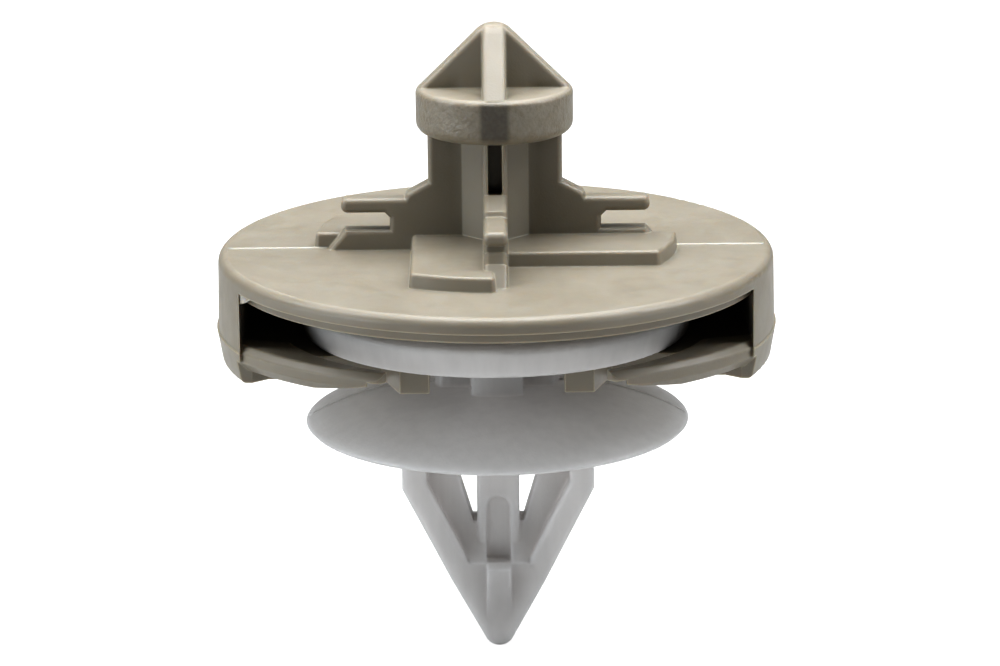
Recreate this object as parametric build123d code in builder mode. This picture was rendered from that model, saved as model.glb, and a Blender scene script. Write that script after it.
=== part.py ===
from build123d import *
import os
from math import atan, cos, hypot, sqrt

os.makedirs("parts", exist_ok=True)

# A door panel clip in two nylon mouldings, in millimetres.
# The retainer locks into the trim panel with the head on its post, and holds the push clip
# by its head in a pocket that is open at the front. The push clip snaps into the door's sheet.
# The origin is on the clip's axis at the face of the sheet that the seal lies on. Z points at
# the trim and the pocket opens towards -Y.

# Retainer: cover disc, with a thinner rim where the pocket is open
disc_radius = 13.5
disc_top = 8.8
disc_thickness = 1.25
disc_edge_radius = 0.45
rim_thickness = 0.75
rim_width = 0.45

# Retainer: wall round the pocket, with a mould step part way down and a tapered foot
wall_thickness = 1.28
step_height = 5.15
step_width = 0.08
wall_draft = 0.07
foot_bottom = 3.58
foot_radius = 13.38
foot_edge_radius = 0.25

# Retainer: floor under the push clip's head, with two prongs beside the neck's slot
floor_thickness = 1.12
floor_front = 4.9
floor_end_front = 5.5
floor_end_half_width = 11.7
floor_end_setback = 0.75
prong_reach = 7.6
prong_width = 1.4
prong_root_width = 2.3
neck_clearance = 0.15

# Retainer: two curved lips that close the front of the pocket around the head
lip_clearance = 0.65
lip_inner_centre = 0.9
lip_width = 4.9
lip_centre = 3.55
lip_crest = 5.45
lip_crest_inset = 0.3
lip_side_height = 0.45
lip_inner_top = 4.9
lip_bottom = 4.2
lip_bottom_inset = 0.45
lip_edge_radius = 0.15
lip_gap = 10.3
lip_root = 4.2
lip_tip_radius = 0.4
lip_tip_bottom = 5.0
lip_tip_length = 0.9
lip_heel_bottom = 4.8
lip_heel_length = 3.6

# Retainer: post of a square column and four ribs, each with a spring finger over a foot
rib_thickness = 1.16
column_width = 3.08
post_half_width = 3.25
rib_edge_radius = 0.25
rib_foot_reach = 8.15
rib_foot_height = 1.0
rib_foot_setback = 0.85
rib_slot_height = 0.84
rib_slot_end = 5.13
rib_slot_chamfer = 0.25
finger_reach = 7.48
finger_thickness = 0.71
finger_end_radius = 0.3
shoulder_reach = 4.4
shoulder_height = 0.8
shoulder_slope = 0.4
shoulder_corner = 0.25
groove_width = 0.68
groove_depth = 0.9

# Retainer: raised pads in a pinwheel round the post
pad_width = 4.1
pad_reach = 8.83
pad_height = 0.72
pad_draft = 7
pad_edge_radius = 0.18
pad_corner_radius = 0.25

# Retainer: locking collar, and the lead-in point that the ribs make above it
collar_radius = 3.8
collar_bottom = 14.6
collar_height = 2.2
collar_lower_radius = 0.55
collar_upper_radius = 0.3
point_half_width = 3.62
point_slope = 0.98
point_radius = 1.2

# Push clip: head
head_radius = 9.8
head_clearance = 0.1
head_rim_height = 1.4
head_rim_taper = 0.45
head_crown_radius = 3.4
head_crown_height = 2.5
head_edge_radius = 0.15

# Push clip: neck, a cross that turns in the retainer's slot
neck_radius = 3.05
neck_plate_thickness = 2.5

# Push clip: seal, a thin cone whose rim lies on the sheet
seal_radius = 9.4
seal_rim_thickness = 0.3
seal_rise = 2.05
seal_thickness = 0.7
seal_dome = 0.45

# Push clip: stem and two spring wings that meet at the tip
stem_width = 2.1
stem_edge_radius = 0.2
wing_half_width = 4.72
wing_depth = 3.4
wing_thickness = 1.2
wing_top = -0.9
wing_shoulder = -2.1
wing_shoulder_inset = 0.85
wing_bend = -3.1
wing_edge_radius = 0.22
tip_slope = 1.97
tip_radius = 0.72
web_thickness = 1.6
web_gap_bottom = -5.0
web_gap_width = 0.21
web_gap_spread = 0.3
tip_block_top = -6.9
tip_depth = 1.3
fin_thickness = 1.2
fin_depth = 4.1
fin_shoulder = 0.25
fin_bottom = -11.15
recess_width = 1.2
recess_depth = 0.2
recess_height = 2.65

# Worked out from the sizes above
disc_underside = disc_top - disc_thickness
floor_top = foot_bottom + floor_thickness
pocket_half_width = disc_radius - wall_thickness
slot_half_width = neck_radius + neck_clearance
lip_tip = lip_gap / 2
lip_radius = head_radius + lip_clearance + lip_width
rib_foot_top = disc_top + rib_foot_height
finger_bottom = rib_foot_top + rib_slot_height
finger_top = finger_bottom + finger_thickness
shoulder_top = finger_top + shoulder_height
collar_top = collar_bottom + collar_height
point_top = collar_top + point_half_width * point_slope
nose_centre = point_top - point_radius * hypot(1, point_slope)
nose_bottom = nose_centre + sqrt(point_radius**2 - rib_thickness**2 / 2)
head_bottom = floor_top + head_clearance
head_rim_top = head_bottom + head_rim_height
head_crown = head_bottom + head_crown_height
seal_rim = seal_radius - seal_rim_thickness / 2
tip_point = wing_bend - wing_half_width * tip_slope
wing_skin = wing_thickness / cos(atan(1 / tip_slope))
web_bottom = tip_block_top - wing_edge_radius


with BuildPart() as lips:
    # A ring turned about a line behind the clip's axis, so that it thins towards the front
    with BuildSketch(Plane.XZ.offset(-lip_centre)):
        with BuildLine():
            Polyline(
                (head_radius, lip_bottom),
                (head_radius, lip_inner_top),
                (lip_radius - lip_crest_inset, lip_crest),
                (lip_radius, step_height),
                (lip_radius, step_height - lip_side_height),
                (lip_radius - lip_bottom_inset, lip_bottom),
                close=True,
            )
        make_face()
        fillet(vertices().group_by(Axis.X)[1:], lip_edge_radius)
    revolve(axis=Axis((0, lip_centre, 0), (0, 0, 1)))

    # What is kept of it, seen from above
    with BuildSketch(Plane.XY.offset(lip_bottom)):
        with Locations((lip_tip, -lip_root)):
            Rectangle(disc_radius, disc_radius, align=(Align.MIN, Align.MAX))
        with Locations((0, lip_centre)):
            Circle(lip_radius, mode=Mode.INTERSECT)
        Circle(disc_radius, mode=Mode.INTERSECT)
        with Locations((0, -lip_inner_centre)):
            Circle(head_radius + lip_clearance, mode=Mode.SUBTRACT)
        fillet(vertices().sort_by(Axis.X)[:2], lip_tip_radius)
        mirror(about=Plane.YZ)
    extrude(amount=lip_crest - lip_bottom, mode=Mode.INTERSECT)

    # What is kept of it, seen from the front: each tip is a thin tongue
    with BuildSketch(Plane.XZ):
        with BuildLine():
            Polyline(
                (lip_tip, lip_tip_bottom),
                (lip_tip + lip_tip_length, lip_tip_bottom),
                (lip_tip + lip_tip_length, lip_heel_bottom),
                (lip_tip + lip_heel_length, lip_bottom),
                (disc_radius, lip_bottom),
                (disc_radius, lip_crest),
                (lip_tip, lip_crest),
                close=True,
            )
        make_face()
        mirror(about=Plane.YZ)
    extrude(amount=disc_radius, mode=Mode.INTERSECT)


with BuildPart() as pads:
    with BuildSketch(Plane.XY.offset(disc_top)):
        with PolarLocations(0, 4):
            Rectangle(pad_width, pad_reach, align=(Align.MAX, Align.MAX))
        Circle(pad_reach, mode=Mode.INTERSECT)
        fillet(vertices(), pad_corner_radius)
    extrude(amount=pad_height, taper=pad_draft)
    fillet(edges().group_by(Axis.Z)[-1], pad_edge_radius)


with BuildPart() as rib:
    # One plate from the cover, through the collar, to the point
    with BuildSketch(Plane.XZ):
        with BuildLine():
            Polyline(
                (0, disc_top - disc_thickness / 2),
                (rib_foot_reach, disc_top - disc_thickness / 2),
                (rib_foot_reach, disc_top),
                (rib_foot_reach - rib_foot_setback, rib_foot_top),
                (rib_slot_end, rib_foot_top),
                (rib_slot_end, finger_bottom - rib_slot_chamfer),
                (rib_slot_end + rib_slot_chamfer, finger_bottom),
                (finger_reach, finger_bottom),
                (finger_reach, finger_top),
                (shoulder_reach, finger_top),
                (shoulder_reach - shoulder_corner / 2, finger_top + shoulder_corner),
                (post_half_width + shoulder_corner, shoulder_top - shoulder_slope / 3),
                (post_half_width, shoulder_top),
                (post_half_width, collar_bottom + collar_height / 2),
                (point_half_width, collar_bottom + collar_height / 2),
                (point_half_width, collar_top),
                (0, point_top),
                close=True,
            )
        make_face()
        finger_end = vertices().filter_by_position(Axis.X, finger_reach, finger_reach)
        fillet(finger_end, finger_end_radius)
        mirror(about=Plane.YZ)
        fillet(vertices().sort_by(Axis.Y)[-1], point_radius)
    extrude(amount=rib_thickness / 2, both=True)
    fillet(faces().filter_by(Axis.Y).edges(), rib_edge_radius)


with BuildPart() as retainer:
    # Collar, rounded before the ribs join it
    with BuildSketch(Plane.XY.offset(collar_bottom)):
        Circle(collar_radius)
    extrude(amount=collar_height)
    fillet(edges().group_by(Axis.Z)[0], collar_lower_radius)
    fillet(edges().group_by(Axis.Z)[-1], collar_upper_radius)

    # Cover, wall and floor, turned as one solid puck
    with BuildSketch(Plane.XZ):
        with BuildLine():
            Polyline(
                (0, foot_bottom),
                (foot_radius, foot_bottom),
                (disc_radius + wall_draft + step_width, step_height),
                (disc_radius + wall_draft, step_height),
                (disc_radius, disc_top),
                (0, disc_top),
                close=True,
            )
        make_face()
    revolve(axis=Axis.Z)
    puck_circles = edges().filter_by(GeomType.CIRCLE)
    fillet(puck_circles.group_by(Axis.Z)[0], foot_edge_radius)
    fillet(puck_circles.filter_by_position(Axis.Z, disc_top, disc_top), disc_edge_radius)

    # Pocket for the head: round at the back and open at the front
    with BuildSketch(Plane.XY.offset(floor_top)):
        Circle(pocket_half_width)
        Rectangle(2 * pocket_half_width, 2 * disc_radius, align=(Align.CENTER, Align.MAX))
    extrude(amount=disc_underside - floor_top, mode=Mode.SUBTRACT)
    with BuildSketch(Plane.XY.offset(disc_underside)):
        Rectangle(2 * pocket_half_width, 2 * disc_radius, align=(Align.CENTER, Align.MAX))
        Circle(disc_radius - rim_width, mode=Mode.SUBTRACT)
    extrude(amount=disc_thickness - rim_thickness, mode=Mode.SUBTRACT)

    # Floor: its front is cut back beside two prongs, and the neck's slot runs to the axis
    with BuildSketch(Plane.XY.offset(foot_bottom)):
        with BuildLine():
            Polyline(
                (0, -prong_reach),
                (slot_half_width + prong_width, -prong_reach),
                (slot_half_width + prong_root_width, -floor_front),
                (floor_end_half_width - floor_end_setback, -floor_front),
                (floor_end_half_width, -floor_end_front),
                (2 * disc_radius, -floor_end_front),
                (2 * disc_radius, -2 * disc_radius),
                (0, -2 * disc_radius),
                close=True,
            )
        make_face()
        mirror(about=Plane.YZ)
        Circle(slot_half_width)
        Rectangle(2 * slot_half_width, disc_radius, align=(Align.CENTER, Align.MAX))
    extrude(amount=floor_thickness, mode=Mode.SUBTRACT)
    add(lips.part)

    # Pads on the cover, then the column, turned so that its sides fill the ribs' corners
    add(pads.part)
    with BuildSketch(Plane.XY.offset(disc_top)):
        Rectangle(column_width, column_width, rotation=45)
    extrude(amount=collar_bottom - disc_top)
    add(rib.part)
    add(rib.part, rotation=(0, 0, 90))

    # Rounded nose where the ribs cross
    with BuildSketch(Plane.XZ):
        with Locations((0, nose_centre)):
            Circle(point_radius)
        with Locations((0, nose_bottom)):
            Rectangle(
                point_radius, point_radius, align=(Align.MIN, Align.MIN), mode=Mode.INTERSECT
            )
    revolve(axis=Axis.Z)

    # Grooves down the front and back edges of the post
    with BuildSketch(Plane.XY.offset(shoulder_top)):
        with Locations((0, -post_half_width), (0, post_half_width)):
            Rectangle(groove_width, 2 * groove_depth)
    extrude(amount=collar_bottom - shoulder_top, mode=Mode.SUBTRACT)

retainer.part.label = "retainer"
export_step(retainer.part, "parts/retainer.step")


with BuildPart() as webs:
    # Thin webs between the wings and the stem, parted from it by a narrow gap
    with BuildSketch(Plane.XZ):
        with BuildLine():
            Polyline(
                (0, web_bottom),
                (0, web_gap_bottom),
                (stem_width / 2 + web_gap_width, web_gap_bottom),
                (
                    stem_width / 2 + web_gap_width + web_gap_spread * (wing_top - web_gap_bottom),
                    wing_top,
                ),
                (wing_half_width - wing_thickness, wing_top),
                (
                    wing_half_width - wing_thickness,
                    tip_point + tip_slope * (wing_half_width - wing_thickness + wing_skin),
                ),
                ((web_bottom - tip_point) / tip_slope - wing_skin, web_bottom),
                close=True,
            )
        make_face()
        mirror(about=Plane.YZ)
    extrude(amount=wing_depth / 2, both=True)

    # Seen from the side they thicken downwards into the solid tip
    with BuildSketch(Plane.YZ):
        with BuildLine():
            Polyline((0, wing_top), (web_thickness / 2, wing_top), (web_thickness / 2, web_gap_bottom))
            TangentArc(
                (web_thickness / 2, web_gap_bottom),
                (wing_depth / 2, tip_block_top),
                tangent=(0, -1),
            )
            Polyline(
                (wing_depth / 2, tip_block_top),
                (wing_depth / 2, web_bottom),
                (0, web_bottom),
                (0, wing_top),
            )
        make_face()
        mirror(about=Plane.YZ)
    extrude(amount=wing_half_width, both=True, mode=Mode.INTERSECT)


with BuildPart() as anchor:
    # Wings and solid tip
    with BuildSketch(Plane.XZ):
        with BuildLine():
            Polyline(
                (0, tip_block_top),
                ((tip_block_top - tip_point) / tip_slope - wing_skin, tip_block_top),
                (
                    wing_half_width - wing_thickness,
                    tip_point + tip_slope * (wing_half_width - wing_thickness + wing_skin),
                ),
                (wing_half_width - wing_thickness, wing_top),
                (wing_half_width - wing_shoulder_inset, wing_top),
                (wing_half_width, wing_shoulder),
                (wing_half_width, wing_bend),
                (0, tip_point),
                close=True,
            )
        make_face()
        mirror(about=Plane.YZ)
        fillet(vertices().sort_by(Axis.Y)[0], tip_radius)
    extrude(amount=wing_depth / 2, both=True)
    fillet(faces().filter_by(Axis.Y).edges(), wing_edge_radius)
    add(webs.part)

    # The tip narrows from front to back as well
    with BuildSketch(Plane.YZ):
        with BuildLine():
            Polyline(
                (0, wing_top),
                (wing_depth / 2, wing_top),
                (wing_depth / 2, tip_block_top),
                (tip_depth / 2, tip_point + tip_radius),
                (0, tip_point),
                close=True,
            )
        make_face()
        mirror(about=Plane.YZ)
    extrude(amount=wing_half_width, both=True, mode=Mode.INTERSECT)

    # Fin across the front and back of the tip
    with BuildSketch(Plane.YZ):
        with BuildLine():
            Polyline(
                (0, tip_block_top),
                (wing_depth / 2, tip_block_top),
                (fin_depth / 2, tip_block_top - fin_shoulder),
                (tip_depth / 2, fin_bottom),
                (0, fin_bottom),
                close=True,
            )
        make_face()
        mirror(about=Plane.YZ)
    extrude(amount=fin_thickness / 2, both=True)

    # Stem, up into the seal, with a shallow arched recess front and back
    with BuildSketch(Plane.XY.offset(tip_block_top)):
        RectangleRounded(stem_width, stem_width, stem_edge_radius)
    extrude(amount=seal_rise - seal_thickness - tip_block_top)
    for side in (1, -1):
        with BuildSketch(Plane.XZ.offset(side * (stem_width / 2 - recess_depth))):
            with Locations((0, tip_block_top)):
                Rectangle(recess_width, recess_height, align=(Align.CENTER, Align.MIN))
            with Locations((0, tip_block_top + recess_height)):
                Circle(recess_width / 2)
        extrude(amount=side * wing_depth / 2, mode=Mode.SUBTRACT)


with BuildPart() as push_clip:
    # Head and seal, turned about the axis
    with BuildSketch(Plane.XZ):
        with BuildLine():
            Polyline(
                (0, head_bottom),
                (head_radius - head_rim_taper, head_bottom),
                (head_radius, head_rim_top),
                (head_crown_radius, head_crown),
                (0, head_crown),
                close=True,
            )
        make_face()
        fillet(vertices().group_by(Axis.X)[-2:], head_edge_radius)
        with BuildLine():
            Line((0, seal_rise - seal_thickness), (stem_width, seal_rise - seal_thickness))
            ThreePointArc(
                (stem_width, seal_rise - seal_thickness),
                (
                    (stem_width + seal_rim) / 2,
                    (seal_rise - seal_thickness) / 2 + seal_dome,
                ),
                (seal_rim, 0),
            )
            Polyline(
                (seal_rim, 0),
                (seal_radius, seal_rim_thickness / 2),
                (seal_rim, seal_rim_thickness),
            )
            ThreePointArc(
                (seal_rim, seal_rim_thickness),
                (
                    (neck_radius + seal_rim) / 2,
                    (seal_rise + seal_rim_thickness) / 2 + seal_dome,
                ),
                (neck_radius, seal_rise),
            )
            Polyline(
                (neck_radius, seal_rise),
                (0, seal_rise),
                (0, seal_rise - seal_thickness),
            )
        make_face()
    revolve(axis=Axis.Z)

    # Cross-shaped neck
    with BuildSketch(Plane.XY.offset(seal_rise)):
        Rectangle(2 * neck_radius, neck_plate_thickness)
        Rectangle(neck_plate_thickness, 2 * neck_radius)
        Circle(neck_radius, mode=Mode.INTERSECT)
    extrude(amount=head_bottom - seal_rise)
    add(anchor.part)

push_clip.part.label = "push_clip"
export_step(push_clip.part, "parts/push_clip.step")
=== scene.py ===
from math import cos, radians, sin, sqrt

import bmesh
import bpy
from mathutils import Matrix, Vector


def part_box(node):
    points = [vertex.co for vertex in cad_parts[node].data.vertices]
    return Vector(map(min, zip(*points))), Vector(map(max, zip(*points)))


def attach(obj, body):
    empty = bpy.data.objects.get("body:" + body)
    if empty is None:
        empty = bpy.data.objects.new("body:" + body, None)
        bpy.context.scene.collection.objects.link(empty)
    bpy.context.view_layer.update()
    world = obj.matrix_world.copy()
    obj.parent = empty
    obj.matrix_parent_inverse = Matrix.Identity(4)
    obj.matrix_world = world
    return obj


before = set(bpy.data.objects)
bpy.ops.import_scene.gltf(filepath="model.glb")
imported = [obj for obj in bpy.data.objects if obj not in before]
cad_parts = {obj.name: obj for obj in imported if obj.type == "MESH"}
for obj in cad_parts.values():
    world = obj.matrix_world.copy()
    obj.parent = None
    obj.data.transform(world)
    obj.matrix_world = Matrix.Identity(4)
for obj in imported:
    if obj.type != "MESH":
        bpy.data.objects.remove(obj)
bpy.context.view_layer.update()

# The door panel clip on a pale floor. Places are in metres, in the CAD frame: the origin is on
# the clip's axis at the sheet's face, Z points at the trim and the pocket opens towards -Y.
MM = 0.001
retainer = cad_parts["retainer"]
push_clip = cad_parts["push_clip"]
floor_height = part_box("push_clip")[0].z

# Camera, in the photograph's 1000 x 666 frame
CAMERA_DISTANCE = 210 * MM
CAMERA_ELEVATION = radians(15.5945)
CAMERA_ROLL = radians(-0.5630)
CAMERA_AIM = Vector((0.1657, 0, 4.4063)) * MM
LENS = 154.33
SENSOR = 36
CLIP_START = 0.01
CLIP_END = 20

# Sizes that the dressing shares with the solids
DISC_TOP = 8.8 * MM
DISC_RADIUS = 13.5 * MM
DISC_EDGE_RADIUS = 0.45 * MM
RIB_FOOT_REACH = 8.15 * MM
COLUMN_REACH = 1.7 * MM
NECK_RADIUS = 3.05 * MM
SEAL_RIM = 9.25 * MM
SEAL_RIM_TOP = 0.3 * MM
SEAL_RISE = 2.05 * MM
SEAL_DOME = 0.45 * MM
COLLAR_BOTTOM = 14.6 * MM
COLLAR_TOP = 16.8 * MM
COLLAR_RADIUS = 3.8 * MM
POCKET_HALF_WIDTH = 12.22 * MM
COVER_UNDERSIDE = 7.55 * MM
COVER_RIM_BOTTOM = 8.05 * MM
COVER_RIM_WIDTH = 0.45 * MM

# Ridges at the parting lines of the moulds
DISC_RIDGE_WIDTH = 0.2 * MM
DISC_RIDGE_HEIGHT = 0.05 * MM
DISC_RIDGE_SUNK = 0.05 * MM
SEAL_RIDGE_WIDTH = 0.26 * MM
SEAL_RIDGE_HEIGHT = 0.03 * MM
SEAL_RIDGE_SUNK = 0.06 * MM

# Nylon: its texture in features per metre, the relief of it, and how far the sheen varies
CLOUDS = 240
SHEEN_PATCHES = 900
SMOOTHER = 0.02
ROUGHER = 0.1
FLOW_WAVES = 500
FLOW_DEPTH = 0.05 * MM
FLOW_STRENGTH = 0.25
GRAIN_DEPTH = 0.02 * MM
GRAIN_STRENGTH = 0.35
NYLON_IOR = 1.53
STREAK_WIDTH = 0.6 * MM
STREAK_SQUEEZE = 0.12
STREAK_TINT = (0.95, 0.95, 0.95)

# Samples of the rounded edges and the hollows, and the likeness of normals that marks an edge
SHADER_SAMPLES = 8
EDGE_LIKENESS = 0.8

# Painted shade between the ribs: how far the ambient occlusion looks, and where the painted shade
# starts and is full
HOLLOW_REACH = 6 * MM
HOLLOW_DEEP = 0.25
HOLLOW_OPEN = 0.65
HOLLOW_BOTTOM = DISC_TOP + 0.7 * MM
HOLLOW_FULL_HEIGHT = DISC_TOP + 3.7 * MM
HOLLOW_FULL_REACH = COLUMN_REACH + 0.5 * MM

# Collar: where its side begins and ends, the blotches and pits there, and the painted dark
# reflection in front
COLLAR_FADE_LOW = 0.4 * MM
COLLAR_FADE_HIGH = 0.2 * MM
COLLAR_SIDE_START = COLLAR_RADIUS - 0.4 * MM
COLLAR_SIDE_FULL = COLLAR_RADIUS - 0.1 * MM
COLLAR_BLOTCH = 0.4 * MM
COLLAR_BLOTCH_TINT = (0.8, 0.78, 0.74)
COLLAR_PIT = 0.2 * MM
COLLAR_PIT_DEPTH = 0.08 * MM
COLLAR_PIT_STRENGTH = 0.6
# Painted reflection on the collar's front: its width, fade, how far forward it starts, and its dark
# tint
COLLAR_REFLECTION_WIDTH = 1.1 * MM
COLLAR_REFLECTION_FADE = 0.25 * MM
COLLAR_REFLECTION_FRONT = -0.5 * MM
COLLAR_REFLECTION_TINT = (0.5, 0.5, 0.52)

# Floor: white where it is seen, and only a faint glow on the part
FLOOR_HALF_SIZE = 3.0
FLOOR_GREY = 0.45
FLOOR_ROUGHNESS = 0.9
FLOOR_SPECULAR = 0.1
FLOOR_WHITE = 0.55
FLOOR_GLOW = 0.12


# Shader helpers

def new_material(name):
    material = bpy.data.materials.new(name)
    material.use_nodes = True
    tree = material.node_tree
    return material, tree, tree.nodes["Principled BSDF"]


def noise(tree, scale, detail=3.0, roughness=0.5, stretch=(1, 1, 1)):
    """Noise in object space, with scale in features per metre."""
    place = tree.nodes.new("ShaderNodeTexCoord")
    mapping = tree.nodes.new("ShaderNodeMapping")
    mapping.inputs["Scale"].default_value = stretch
    tree.links.new(place.outputs["Object"], mapping.inputs["Vector"])
    node = tree.nodes.new("ShaderNodeTexNoise")
    node.inputs["Scale"].default_value = scale
    node.inputs["Detail"].default_value = detail
    node.inputs["Roughness"].default_value = roughness
    tree.links.new(mapping.outputs["Vector"], node.inputs["Vector"])
    return node.outputs["Fac"]


def remap(tree, value, low, high, to_low=0, to_high=1):
    node = tree.nodes.new("ShaderNodeMapRange")
    node.inputs["From Min"].default_value = low
    node.inputs["From Max"].default_value = high
    node.inputs["To Min"].default_value = to_low
    node.inputs["To Max"].default_value = to_high
    tree.links.new(value, node.inputs["Value"])
    return node.outputs["Result"]


def mix(tree, factor, first, second, blend_type="MIX"):
    """Blends two colours by a factor. Each is a plain colour or comes out of a node."""
    node = tree.nodes.new("ShaderNodeMix")
    node.data_type = "RGBA"
    node.blend_type = blend_type
    tree.links.new(factor, node.inputs["Factor"])
    for socket, colour in (("A", first), ("B", second)):
        if isinstance(colour, tuple):
            node.inputs[socket].default_value = (*colour, 1)
        else:
            tree.links.new(colour, node.inputs[socket])
    return node.outputs["Result"]


def tint(tree, factor, colour, shade):
    """The colour times the shade where the factor is 1, and as it is where the factor is 0."""
    return mix(tree, factor, colour, shade, "MULTIPLY")


def product(tree, first, *others):
    """The product of two or more values."""
    result = first
    for other in others:
        node = tree.nodes.new("ShaderNodeMath")
        node.operation = "MULTIPLY"
        tree.links.new(result, node.inputs[0])
        tree.links.new(other, node.inputs[1])
        result = node.outputs["Value"]
    return result


def bump(tree, height, distance, strength, normal):
    node = tree.nodes.new("ShaderNodeBump")
    node.inputs["Distance"].default_value = distance
    node.inputs["Strength"].default_value = strength
    tree.links.new(height, node.inputs["Height"])
    tree.links.new(normal, node.inputs["Normal"])
    return node.outputs["Normal"]


def rounded_edges(tree, radius):
    """Normal rounded along the edges, and a mask that is 1 along them and 0 on the faces."""
    bevel = tree.nodes.new("ShaderNodeBevel")
    bevel.samples = SHADER_SAMPLES
    bevel.inputs["Radius"].default_value = radius
    surface = tree.nodes.new("ShaderNodeNewGeometry")
    likeness = tree.nodes.new("ShaderNodeVectorMath")
    likeness.operation = "DOT_PRODUCT"
    tree.links.new(bevel.outputs["Normal"], likeness.inputs[0])
    tree.links.new(surface.outputs["Normal"], likeness.inputs[1])
    mask = remap(tree, likeness.outputs["Value"], EDGE_LIKENESS, 1, 1, 0)
    return bevel.outputs["Normal"], mask


def place_on_part(tree):
    """The place in the CAD frame, as X, Y, Z and the distance to the axis."""
    place = tree.nodes.new("ShaderNodeTexCoord")
    parts = tree.nodes.new("ShaderNodeSeparateXYZ")
    tree.links.new(place.outputs["Object"], parts.inputs["Vector"])
    flat = tree.nodes.new("ShaderNodeCombineXYZ")
    tree.links.new(parts.outputs["X"], flat.inputs["X"])
    tree.links.new(parts.outputs["Y"], flat.inputs["Y"])
    reach = tree.nodes.new("ShaderNodeVectorMath")
    reach.operation = "LENGTH"
    tree.links.new(flat.outputs["Vector"], reach.inputs[0])
    return parts.outputs["X"], parts.outputs["Y"], parts.outputs["Z"], reach.outputs["Value"]


def paint_shade_in_hollows(tree, colour, shade):
    """The colour with painted shade deep between the ribs of the post, where shade falls, and as it
    is in the open.
    """
    _, _, height, to_axis = place_on_part(tree)
    high = remap(tree, height, HOLLOW_BOTTOM, HOLLOW_FULL_HEIGHT)
    on_ribs = remap(tree, to_axis, COLUMN_REACH, HOLLOW_FULL_REACH)
    # Painted shade: darkened where ambient occlusion finds the surface enclosed, above the disc and
    # out on the ribs
    openness = tree.nodes.new("ShaderNodeAmbientOcclusion")
    openness.samples = SHADER_SAMPLES
    openness.inputs["Distance"].default_value = HOLLOW_REACH
    deep = remap(tree, openness.outputs["AO"], HOLLOW_DEEP, HOLLOW_OPEN, 1, 0)
    return tint(tree, product(tree, deep, high, on_ribs), colour, shade)


def collar_masks(tree):
    """Masks that are 1 on the side of the collar, and on the painted dark reflection across the
    front of it.
    """
    x, y, height, to_axis = place_on_part(tree)
    above = remap(tree, height, COLLAR_BOTTOM, COLLAR_BOTTOM + COLLAR_FADE_LOW)
    below = remap(tree, height, COLLAR_TOP - COLLAR_FADE_HIGH, COLLAR_TOP, 1, 0)
    outside = remap(tree, to_axis, COLLAR_SIDE_START, COLLAR_SIDE_FULL)
    side = product(tree, above, below, outside)
    across = tree.nodes.new("ShaderNodeMath")
    across.operation = "ABSOLUTE"
    tree.links.new(x, across.inputs[0])
    reflection_side = COLLAR_REFLECTION_WIDTH / 2
    middle = remap(tree, across.outputs["Value"], reflection_side, reflection_side + COLLAR_REFLECTION_FADE, 1, 0)
    front = remap(tree, y, COLLAR_REFLECTION_FRONT, 0, 1, 0)
    return side, product(tree, side, middle, front)


# Materials

def moulded_nylon(
    name, light, dark, edge, roughness, edge_radius, grain_size,
    scatter=0, glow=(1, 1, 1), depth=0, painted_hollow_shade=None,
):
    """Satin moulded nylon: cloudy colour, a painted highlight on its thin edges, painted shade
    in the hollows between the ribs where given, a fine spark-eroded grain and an uneven sheen.
    Light scatters into it to a depth, and glow is the tint that it comes out with. Returns the
    material with its colour and its normal."""
    material, tree, shader = new_material(name)
    clouds = noise(tree, CLOUDS)
    colour = mix(tree, remap(tree, clouds, 0.35, 0.65), light, dark)
    # Painted shade in the hollows between the ribs, when a shade colour is given
    if painted_hollow_shade:
        colour = paint_shade_in_hollows(tree, colour, painted_hollow_shade)
    normal, edges = rounded_edges(tree, edge_radius)
    # Painted highlight: the colour is paler along the edges, where rounded edges catch the light
    colour = mix(tree, edges, colour, edge)
    tree.links.new(colour, shader.inputs["Base Color"])
    sheen = noise(tree, SHEEN_PATCHES, detail=4)
    uneven = remap(tree, sheen, 0.3, 0.7, roughness - SMOOTHER, roughness + ROUGHER)
    tree.links.new(uneven, shader.inputs["Roughness"])
    flow = noise(tree, FLOW_WAVES, detail=1)
    grain = noise(tree, 1 / grain_size, detail=2)
    normal = bump(tree, flow, FLOW_DEPTH, FLOW_STRENGTH, normal)
    normal = bump(tree, grain, GRAIN_DEPTH, GRAIN_STRENGTH, normal)
    tree.links.new(normal, shader.inputs["Normal"])
    shader.inputs["IOR"].default_value = NYLON_IOR
    shader.inputs["Subsurface Weight"].default_value = scatter
    shader.inputs["Subsurface Radius"].default_value = glow
    shader.inputs["Subsurface Scale"].default_value = depth
    return material, colour, normal


def add_collar_texture(material, colour, normal):
    """The collar's side is blotchy and coarser than the rest, with a painted dark reflection at the
    front.
    """
    tree = material.node_tree
    shader = tree.nodes["Principled BSDF"]
    side, painted_reflection = collar_masks(tree)
    blotches = remap(tree, noise(tree, 1 / COLLAR_BLOTCH, detail=4, roughness=0.65), 0.4, 0.7)
    colour = tint(tree, product(tree, side, blotches), colour, COLLAR_BLOTCH_TINT)
    # Painted reflection: the front of the collar is darkened where it faces the dark surroundings
    # in front
    colour = tint(tree, painted_reflection, colour, COLLAR_REFLECTION_TINT)
    tree.links.new(colour, shader.inputs["Base Color"])
    pits = product(tree, side, noise(tree, 1 / COLLAR_PIT, detail=3))
    pitted = bump(tree, pits, COLLAR_PIT_DEPTH, COLLAR_PIT_STRENGTH, normal)
    tree.links.new(pitted, shader.inputs["Normal"])


def add_flow_streaks(material, colour):
    """Faint cloudy streaks along the axis, where the translucent nylon flowed into the mould."""
    tree = material.node_tree
    shader = tree.nodes["Principled BSDF"]
    streaks = noise(tree, 1 / STREAK_WIDTH, detail=2, stretch=(1, 1, STREAK_SQUEEZE))
    streaky = tint(tree, remap(tree, streaks, 0.35, 0.7), colour, STREAK_TINT)
    tree.links.new(streaky, shader.inputs["Base Color"])


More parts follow.
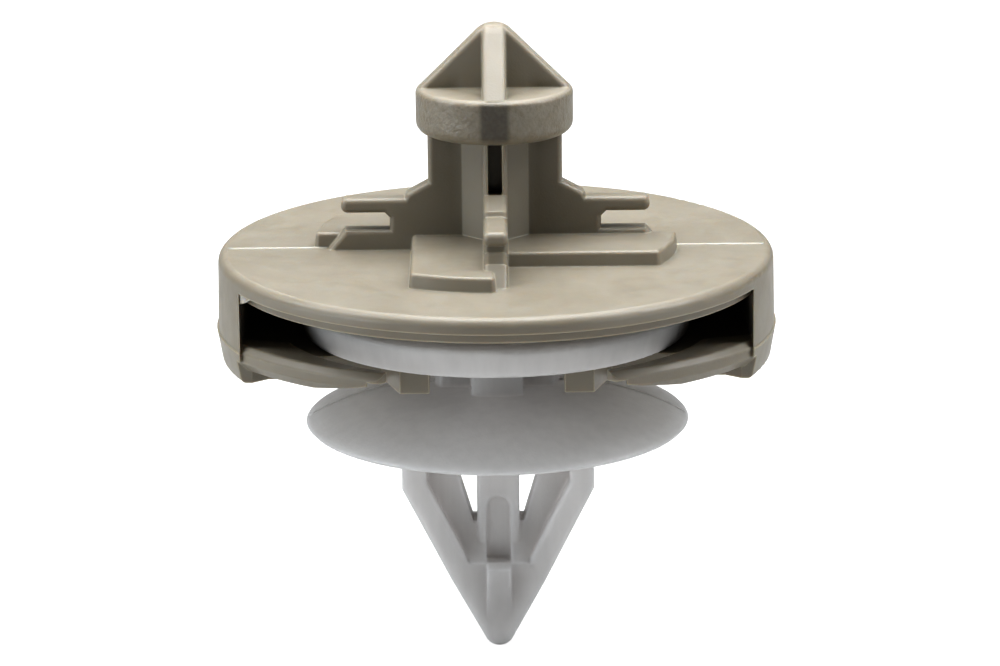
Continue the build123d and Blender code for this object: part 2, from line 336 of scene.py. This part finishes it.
tan_nylon, tan_colour, tan_normal = moulded_nylon(
    "tan_nylon",
    light=(0.292, 0.264, 0.214),
    dark=(0.27, 0.241, 0.191),
    # paler colour of the painted highlight along the edges
    edge=(0.5, 0.455, 0.355),
    roughness=0.34,
    edge_radius=0.15 * MM,
    grain_size=0.09 * MM,
    scatter=0.35,
    glow=(1, 0.6, 0.3),
    depth=0.6 * MM,
    # colour of the painted shade between the ribs
    painted_hollow_shade=(0.35, 0.32, 0.24),
)
add_collar_texture(tan_nylon, tan_colour, tan_normal)
# A paler copy of the tan nylon for the flash: its paler colour is a painted highlight on the
# parting-line ridge and the nib in the mouth
tan_flash_highlight, *_ = moulded_nylon(
    "tan_flash_highlight",
    light=(0.50, 0.475, 0.42),
    dark=(0.46, 0.44, 0.385),
    edge=(0.52, 0.49, 0.43),
    roughness=0.32,
    edge_radius=0.05 * MM,
    grain_size=0.12 * MM,
    scatter=0.5,
    glow=(1, 0.7, 0.4),
    depth=0.4 * MM,
)
white_nylon, white_colour, _ = moulded_nylon(
    "white_nylon",
    light=(0.68, 0.66, 0.645),
    dark=(0.66, 0.64, 0.625),
    # paler colour of the painted highlight along the edges
    edge=(0.72, 0.7, 0.685),
    roughness=0.38,
    edge_radius=0.28 * MM,
    grain_size=0.12 * MM,
    scatter=1,
    depth=2.4 * MM,
)
add_flow_streaks(white_nylon, white_colour)
# A paler copy of the white nylon for the flash: its paler colour is a painted highlight on the
# seal's parting-line ridge
white_flash_highlight, *_ = moulded_nylon(
    "white_flash_highlight",
    light=(0.92, 0.9, 0.88),
    dark=(0.9, 0.88, 0.86),
    edge=(0.94, 0.92, 0.9),
    roughness=0.34,
    edge_radius=0.05 * MM,
    grain_size=0.12 * MM,
)


def finish_node(node, material):
    for slot in node.material_slots:
        slot.material = material


finish_node(retainer, tan_nylon)
finish_node(push_clip, white_nylon)


# Mesh helpers

def new_piece(name, build, body, material):
    """Makes a mesh piece with a function that fills a bmesh, and lets it ride on a body."""
    form = bmesh.new()
    build(form)
    bmesh.ops.recalc_face_normals(form, faces=form.faces)
    mesh = bpy.data.meshes.new(name)
    form.to_mesh(mesh)
    form.free()
    piece = bpy.data.objects.new(name, mesh)
    bpy.context.scene.collection.objects.link(piece)
    for face in mesh.polygons:
        face.use_smooth = True
    mesh.materials.append(material)
    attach(piece, body)


def join_rings(form, rings):
    """Joins rings of corners, one after the other, into a closed skin with flat ends."""
    for first, second in zip(rings, rings[1:]):
        count = len(first)
        for n in range(count):
            m = (n + 1) % count
            form.faces.new((first[n], first[m], second[m], second[n]))
    form.faces.new(rings[0])
    form.faces.new(rings[-1])


def heading(path, n):
    """The direction of a path at its point n."""
    return path[min(n + 1, len(path) - 1)] - path[max(n - 1, 0)]


def add_ridge(form, path, ups, width, height, sunk):
    """A low rounded ridge along a path, sunk a little into the surface under it."""
    section = (
        (-width / 2, -sunk),
        (-width / 2, 0),
        (-width / 4, height * 0.8),
        (0, height),
        (width / 4, height * 0.8),
        (width / 2, 0),
        (width / 2, -sunk),
    )
    rings = []
    for n, (place, up) in enumerate(zip(path, ups)):
        side = heading(path, n).cross(up).normalized()
        rings.append([form.verts.new(place + side * a + up * b) for a, b in section])
    join_rings(form, rings)


# Parting lines of the moulds

def disc_parting_line(form):
    """Runs from the side ribs to the edge of the disc."""
    start = RIB_FOOT_REACH
    length = DISC_RADIUS - DISC_EDGE_RADIUS - start
    steps = 12
    for side in (1, -1):
        path = []
        for n in range(steps + 1):
            path.append(Vector((side * (start + length * n / steps), 0, DISC_TOP)))
        ups = [Vector((0, 0, 1))] * len(path)
        add_ridge(form, path, ups, DISC_RIDGE_WIDTH, DISC_RIDGE_HEIGHT, DISC_RIDGE_SUNK)


def seal_parting_line(form):
    """Follows the domed top of the seal from the neck to the rim."""
    inner = Vector((NECK_RADIUS, 0, SEAL_RISE))
    outer = Vector((SEAL_RIM, 0, SEAL_RIM_TOP))
    dome = Vector((0, 0, SEAL_DOME))
    steps = 24
    for side in (1, -1):
        path = []
        for n in range(steps + 1):
            t = n / steps
            place = inner + (outer - inner) * t + dome * (4 * t * (1 - t))
            path.append(Vector((side * place.x, 0, place.z)))
        ups = []
        for n in range(steps + 1):
            ahead = heading(path, n)
            ups.append(Vector((-ahead.z * side, 0, ahead.x * side)).normalized())
        add_ridge(form, path, ups, SEAL_RIDGE_WIDTH, SEAL_RIDGE_HEIGHT, SEAL_RIDGE_SUNK)


def mouth_nib(form):
    """A sliver of flash in the corner of the mouth, that thins out under the cover's rim."""
    behind_side = 0.04 * MM
    below_cover = 0.04 * MM
    into_rim = 0.03 * MM
    overlap = 0.06 * MM
    reach = 0.62 * MM
    slant = 0.12 * MM
    rounding = 0.07 * MM
    thinning = 0.6
    outer = DISC_RADIUS - behind_side
    inner = DISC_RADIUS - COVER_RIM_WIDTH - overlap
    start = POCKET_HALF_WIDTH + overlap
    length = reach + overlap
    top = COVER_RIM_BOTTOM + into_rim
    rise = COVER_RIM_BOTTOM - COVER_UNDERSIDE
    steps = 10
    rings = []
    for n in range(steps + 1):
        t = n / steps
        x = start - length * t
        low = COVER_UNDERSIDE - below_cover + rise * t**1.5
        front = sqrt(outer**2 - x**2) - slant * t
        back = sqrt(inner**2 - x**2)
        soft = rounding * (1 - thinning * t)
        section = (
            (front - soft, low),
            (front, low + soft),
            (front, top - soft),
            (front - soft, top),
            (back, top),
            (back, low),
        )
        rings.append([form.verts.new((-x, -y, z)) for y, z in section])
    join_rings(form, rings)


new_piece("disc_parting_line", disc_parting_line, "retainer", tan_flash_highlight)
new_piece("mouth_nib", mouth_nib, "retainer", tan_flash_highlight)
new_piece("seal_parting_line", seal_parting_line, "push_clip", white_flash_highlight)


# Floor

def add_floor():
    form = bmesh.new()
    bmesh.ops.create_grid(form, x_segments=2, y_segments=2, size=FLOOR_HALF_SIZE)
    mesh = bpy.data.meshes.new("floor")
    form.to_mesh(mesh)
    form.free()
    floor = bpy.data.objects.new("floor", mesh)
    floor.location = (0, 0, floor_height)
    bpy.context.scene.collection.objects.link(floor)
    material, tree, shader = new_material("pale_floor")
    shader.inputs["Base Color"].default_value = (FLOOR_GREY, FLOOR_GREY, FLOOR_GREY, 1)
    shader.inputs["Roughness"].default_value = FLOOR_ROUGHNESS
    shader.inputs["Specular IOR Level"].default_value = FLOOR_SPECULAR
    shader.inputs["Emission Color"].default_value = (1, 1, 1, 1)
    rays = tree.nodes.new("ShaderNodeLightPath")
    glow = remap(tree, rays.outputs["Is Camera Ray"], 0, 1, FLOOR_GLOW, FLOOR_WHITE)
    tree.links.new(glow, shader.inputs["Emission Strength"])
    mesh.materials.append(material)


add_floor()


# Camera

def add_camera():
    ahead = Vector((0, cos(CAMERA_ELEVATION), -sin(CAMERA_ELEVATION)))
    level_up = Vector((0, sin(CAMERA_ELEVATION), cos(CAMERA_ELEVATION)))
    level_right = Vector((1, 0, 0))
    right = level_right * cos(CAMERA_ROLL) + level_up * sin(CAMERA_ROLL)
    up = level_up * cos(CAMERA_ROLL) - level_right * sin(CAMERA_ROLL)
    data = bpy.data.cameras.new("camera")
    data.sensor_width = SENSOR
    data.lens = LENS
    data.clip_start = CLIP_START
    data.clip_end = CLIP_END
    camera = bpy.data.objects.new("camera", data)
    turn = Matrix((right, up, -ahead)).transposed().to_4x4()
    camera.matrix_world = Matrix.Translation(CAMERA_AIM - ahead * CAMERA_DISTANCE) @ turn
    bpy.context.scene.collection.objects.link(camera)
    bpy.context.scene.camera = camera


add_camera()


# Light: softboxes that face the part, with their place, width, height, power and colour
LIGHT_AIM = Vector((0, 0, 5)) * MM
TOP_WHITE = (0.97, 0.985, 1)
COOL_WHITE = (0.88, 0.945, 1)
SOFTBOXES = {
    "top_left_softbox": ((-0.4, 0, 0.45), 0.3, 0.4, 1.6, TOP_WHITE),
    "top_right_softbox": ((0.4, 0, 0.45), 0.3, 0.4, 1.8, TOP_WHITE),
    "close_top_softbox": ((0, 0, 0.09), 0.06, 0.06, 0.065, TOP_WHITE),
    "close_back_softbox": ((0, 0.07, 0.1), 0.1, 0.05, 0.045, TOP_WHITE),
    "back_softbox": ((0, 0.6, 0.16), 0.9, 0.3, 0.1, TOP_WHITE),
    "left_softbox": ((-0.6, -0.18, 0.12), 0.25, 0.25, 0.1, COOL_WHITE),
    "right_softbox": ((0.6, -0.18, 0.12), 0.25, 0.25, 0.14, COOL_WHITE),
    "front_left_softbox": ((-0.5, -0.33, 0.06), 0.25, 0.25, 0.7, COOL_WHITE),
    "front_right_softbox": ((0.5, -0.33, 0.06), 0.25, 0.25, 0.4, COOL_WHITE),
    "left_strip": ((-0.5, -0.1, 0), 0.3, 0.02, 0.22, COOL_WHITE),
}


def add_softbox(name, place, width, height, power, colour):
    data = bpy.data.lights.new(name, "AREA")
    data.shape = "RECTANGLE"
    data.size = width
    data.size_y = height
    data.energy = power
    data.color = colour
    light = bpy.data.objects.new(name, data)
    light.visible_camera = False
    light.location = place
    light.rotation_euler = (LIGHT_AIM - Vector(place)).to_track_quat("-Z", "Y").to_euler()
    bpy.context.scene.collection.objects.link(light)


for name, settings in SOFTBOXES.items():
    add_softbox(name, *settings)

# Dark surroundings, so that only the softboxes and the floor light the part
world = bpy.data.worlds.new("studio")
world.use_nodes = True
world.node_tree.nodes["Background"].inputs["Color"].default_value = (1, 1, 1, 1)
world.node_tree.nodes["Background"].inputs["Strength"].default_value = 0
bpy.context.scene.world = world
bpy.context.scene.view_settings.view_transform = "Standard"
bpy.context.scene.view_settings.look = "High Contrast"
